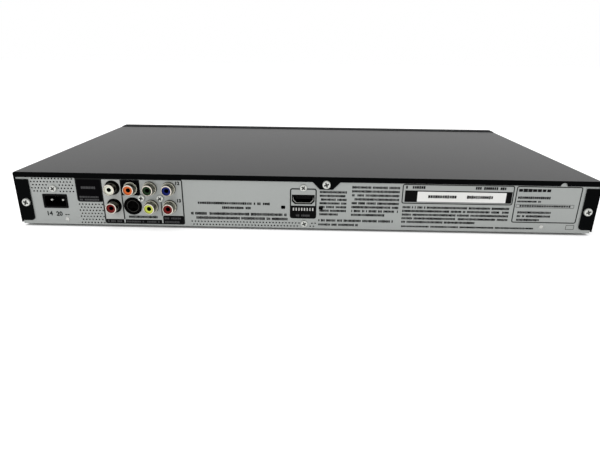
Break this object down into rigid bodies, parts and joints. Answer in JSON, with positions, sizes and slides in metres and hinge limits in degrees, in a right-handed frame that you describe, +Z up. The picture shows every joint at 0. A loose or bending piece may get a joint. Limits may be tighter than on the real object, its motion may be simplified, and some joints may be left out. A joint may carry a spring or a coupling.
{
  "type": "dvd player",
  "caption": "Slim disc player: steel case with a motor-driven tray, lifting spindle, tracking pickup, front buttons, and rear audio, video and mains sockets.",
  "frame": {"origin": "centre of the bounding box in X and Y, on the floor under the feet", "axes": "+X along the width, towards the mains inlet and away from the tray; +Y out of the jack panel, -Y out of the front; +Z up"},
  "size_m": [0.433, 0.2364, 0.043],
  "materials": {
    "black_painted_steel": "satin",
    "zinc_plated_panel": "fine matte plating",
    "chassis_steel": "plated",
    "screw_zinc": "bright plated",
    "jack_nickel": "nickel plated",
    "contact_brass": "plain",
    "white_ring": "moulded",
    "red_ring": "moulded",
    "orange_ring": "moulded",
    "green_ring": "moulded",
    "blue_ring": "moulded",
    "yellow_ring": "moulded",
    "black_moulding": "moulded",
    "socket_steel": "plated",
    "pin_metal": "plated",
    "circuit_board": "lacquered",
    "power_circuit_board": "plain laminate",
    "chip_black": "moulded",
    "transformer_tape": "wound tape",
    "capacitor_sleeve": "sleeved",
    "heatsink_aluminium": "extruded",
    "foot_rubber": "plain",
    "front_gloss": "polished",
    "window_smoke": "polished, smoked",
    "button_grey": "metallic lacquer",
    "display_glass": "sealed tube",
    "ribbon_white": "laminated",
    "loader_plastic": "moulded",
    "tray_plastic": "fine grain",
    "gear_plastic": "moulded",
    "belt_rubber": "ground",
    "damper_rubber": "soft",
    "motor_steel": "drawn can",
    "traverse_steel": "pressed",
    "rod_steel": "ground",
    "turntable_plastic": "rubber-faced",
    "clamper_plastic": "moulded",
    "bridge_steel": "pressed",
    "sled_casting": "die cast",
    "lens_carrier": "moulded"
  },
  "bodies": {
    "player": {"bottom_chassis": "chassis_steel", "feet": "foot_rubber", "rear_panel": "zinc_plated_panel", "top_cover": "black_painted_steel", "cover_screws": "screw_zinc", "connector_screws": "screw_zinc", "panel_rivets": "screw_zinc", "rca_shells": "jack_nickel", "rca_contacts": "contact_brass", "rca_insulator_white": "white_ring", "rca_insulators_red": "red_ring", "rca_insulator_orange": "orange_ring", "rca_insulator_green": "green_ring", "rca_insulator_blue": "blue_ring", "rca_insulator_yellow": "yellow_ring", "jack_blocks": "black_moulding", "svideo_socket": "black_moulding", "svideo_insulator": "black_moulding", "hdmi_shell": "socket_steel", "hdmi_tongue": "black_moulding", "ac_inlet_housing": "black_moulding", "ac_inlet_pins": "pin_metal", "main_board": "circuit_board", "power_board": "power_circuit_board", "board_chips": "chip_black", "power_transformer": "transformer_tape", "power_capacitors": "capacitor_sleeve", "power_heatsink": "heatsink_aluminium", "front_fascia": "front_gloss", "display_window": "window_smoke", "front_board": "circuit_board", "display_module": "display_glass", "key_switches": "black_moulding", "front_ribbon": "ribbon_white", "loader_frame": "loader_plastic", "loader_screws": "screw_zinc", "loading_belt": "belt_rubber", "loading_motor": "motor_steel", "clamp_bridge": "bridge_steel"},
    "tray": {"tray": "tray_plastic", "tray_front": "front_gloss"},
    "drive_gear": {"drive_gear": "gear_plastic"},
    "pulley_gear": {"pulley_gear": "gear_plastic"},
    "motor_pulley": {"motor_pulley": "gear_plastic"},
    "cam_slider": {"cam_slider": "gear_plastic"},
    "traverse": {"traverse_frame": "loader_plastic", "mecha_plate": "traverse_steel", "rubber_dampers": "damper_rubber", "spindle_motor": "motor_steel", "guide_rods": "rod_steel", "feed_motor": "motor_steel"},
    "turntable": {"turntable": "turntable_plastic"},
    "sled": {"pickup_sled": "sled_casting"},
    "lens": {"objective_lens": "lens_carrier"},
    "lead_screw": {"lead_screw": "rod_steel"},
    "clamper": {"clamper_puck": "clamper_plastic"},
    "open_close_button": {"open_close_button": "button_grey"},
    "stop_button": {"stop_button": "button_grey"},
    "play_button": {"play_button": "button_grey"},
    "power_button": {"power_button": "button_grey"}
  },
  "joints": [
    {"name": "tray_slide", "type": "slide", "parent": "player", "child": "tray", "axis": [0, -1, 0], "range_m": [0, 0.14]},
    {"name": "drive_gear_spin", "type": "hinge", "parent": "player", "child": "drive_gear", "pos_m": [-0.0765, -0.08395, 0.0216], "axis": [0, 0, 1], "range_deg": [-458.4, 0]},
    {"name": "pulley_gear_spin", "type": "hinge", "parent": "player", "child": "pulley_gear", "pos_m": [-0.10118, -0.08795, 0.02], "axis": [0, 0, 1], "range_deg": [0, 1069.6]},
    {"name": "motor_pulley_spin", "type": "hinge", "parent": "player", "child": "motor_pulley", "pos_m": [-0.143, -0.08695, 0.0185], "axis": [0, 0, 1], "range_deg": [0, 3946.5]},
    {"name": "cam_slide", "type": "slide", "parent": "player", "child": "cam_slider", "axis": [1, 0, 0], "range_m": [0, 0.024]},
    {"name": "traverse_tilt", "type": "hinge", "parent": "player", "child": "traverse", "pos_m": [-0.115, 0.03505, 0.0155], "axis": [1, 0, 0], "range_deg": [0, 5.01]},
    {"name": "turntable_spin", "type": "hinge", "parent": "traverse", "child": "turntable", "pos_m": [-0.115, -0.04095, 0.02], "axis": [0, 0, 1], "continuous": true},
    {"name": "clamper_spin", "type": "hinge", "parent": "player", "child": "clamper", "pos_m": [-0.115, -0.04095, 0.031], "axis": [0, 0, 1], "continuous": true},
    {"name": "sled_slide", "type": "slide", "parent": "traverse", "child": "sled", "axis": [0, 1, 0], "range_m": [0, 0.034]},
    {"name": "lead_screw_turn", "type": "hinge", "parent": "traverse", "child": "lead_screw", "pos_m": [-0.084, 0, 0.0162], "axis": [0, 1, 0], "range_deg": [0, 4080.1]},
    {"name": "lens_focus", "type": "slide", "parent": "sled", "child": "lens", "axis": [0, 0, 1], "range_m": [-0.0006, 0.0006], "stiffness_N_per_m": 59},
    {"name": "open_close_press", "type": "slide", "parent": "player", "child": "open_close_button", "axis": [0, 1, 0], "range_m": [0, 0.0005], "stiffness_N_per_m": 400, "springref_m": -0.001},
    {"name": "stop_press", "type": "slide", "parent": "player", "child": "stop_button", "axis": [0, 1, 0], "range_m": [0, 0.0005], "stiffness_N_per_m": 400, "springref_m": -0.001},
    {"name": "play_press", "type": "slide", "parent": "player", "child": "play_button", "axis": [0, 1, 0], "range_m": [0, 0.0005], "stiffness_N_per_m": 400, "springref_m": -0.001},
    {"name": "power_press", "type": "slide", "parent": "player", "child": "power_button", "axis": [0, 1, 0], "range_m": [0, 0.0005], "stiffness_N_per_m": 400, "springref_m": -0.001}
  ],
  "couplings": [
    {"joint": "drive_gear_spin", "follows": "tray_slide", "rad_per_m": -57.143},
    {"joint": "pulley_gear_spin", "follows": "tray_slide", "rad_per_m": 133.33},
    {"joint": "motor_pulley_spin", "follows": "tray_slide", "rad_per_m": 491.95},
    {"joint": "traverse_tilt", "follows": "cam_slide", "rad_per_m": 3.6361},
    {"joint": "clamper_spin", "follows": "turntable_spin", "ratio": 1},
    {"joint": "lead_screw_turn", "follows": "sled_slide", "rad_per_m": 2094.4}
  ]
}
